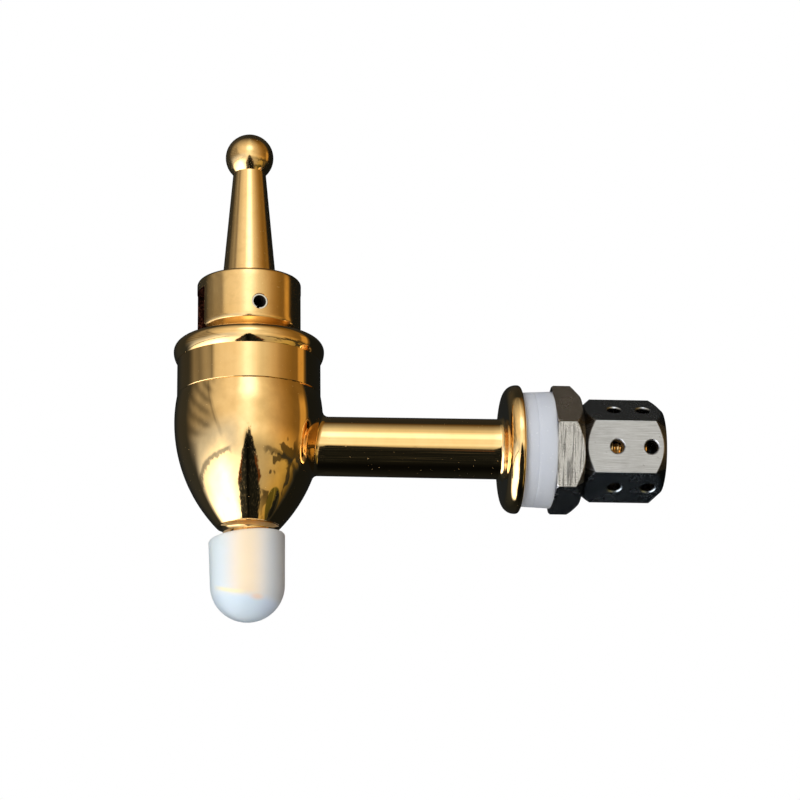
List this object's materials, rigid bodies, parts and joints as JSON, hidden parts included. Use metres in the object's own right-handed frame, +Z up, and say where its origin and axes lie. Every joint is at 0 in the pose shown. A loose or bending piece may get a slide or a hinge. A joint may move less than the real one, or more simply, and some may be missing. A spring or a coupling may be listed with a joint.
{
  "type": "beverage dispenser spigot",
  "caption": "Lever-operated dispenser tap: ball-ended lever on a slotted collar, egg-shaped valve body, side arm with wall flange, gasket, nut and strainer, and a soft spout cap.",
  "frame": {"origin": "middle of the flange's wall face, on the threaded shank's axis", "axes": "+X along the shank, through the wall into the vessel; +Z up, along the valve's axis towards the lever's ball; the valve's axis stands at X = -57 mm"},
  "size_m": [0.1031, 0.0318, 0.1074],
  "materials": {
    "polished_gold": "gold-coloured plating on cast brass, polished to a mirror",
    "satin_gold": "gold-coloured plating over fine turning marks, satin",
    "machined_steel": "stainless steel as machined, with tool marks on the flats",
    "stainless_steel": "stainless steel, turned",
    "spring_steel": "bright stainless spring steel",
    "clear_silicone": "translucent moulded silicone",
    "milky_silicone": "milky moulded silicone",
    "seal_rubber": "black moulded rubber"
  },
  "bodies": {
    "root": {"spigot_body": "polished_gold", "bonnet": "polished_gold", "bonnet_seal": "seal_rubber", "stem_o_ring": "seal_rubber", "gland_washer": "stainless_steel", "flange_gasket": "milky_silicone", "lock_nut": "machined_steel", "strainer_cap": "machined_steel"},
    "swivel": {"return_spring": "spring_steel"},
    "stem": {"valve_stem": "stainless_steel", "seat_plug": "milky_silicone", "plug_washer": "stainless_steel"},
    "handle": {"tilt_handle": "satin_gold", "roll_pin": "spring_steel"},
    "cap": {"spout_cap": "clear_silicone"}
  },
  "joints": [
    {"name": "handle_swivel", "type": "hinge", "parent": "root", "child": "swivel", "pos_m": [-0.057, 0, 0], "axis": [0, 0, 1], "continuous": true},
    {"name": "stem_lift", "type": "slide", "parent": "swivel", "child": "stem", "axis": [0, 0, 1], "range_m": [0, 0.0045], "stiffness_N_per_m": 200, "springref_m": -0.005, "deforming": ["return_spring"]},
    {"name": "handle_tilt", "type": "hinge", "parent": "stem", "child": "handle", "pos_m": [-0.057, 0, 0.0283], "axis": [0.1564, -0.9877, 0], "range_deg": [0, 30]},
    {"name": "cap_pull", "type": "slide", "parent": "root", "child": "cap", "axis": [0, 0, -1], "range_m": [0, 0.016]}
  ],
  "couplings": [
    {"joint": "handle_tilt", "follows": "stem_lift", "rad_per_m": 116.3}
  ]
}
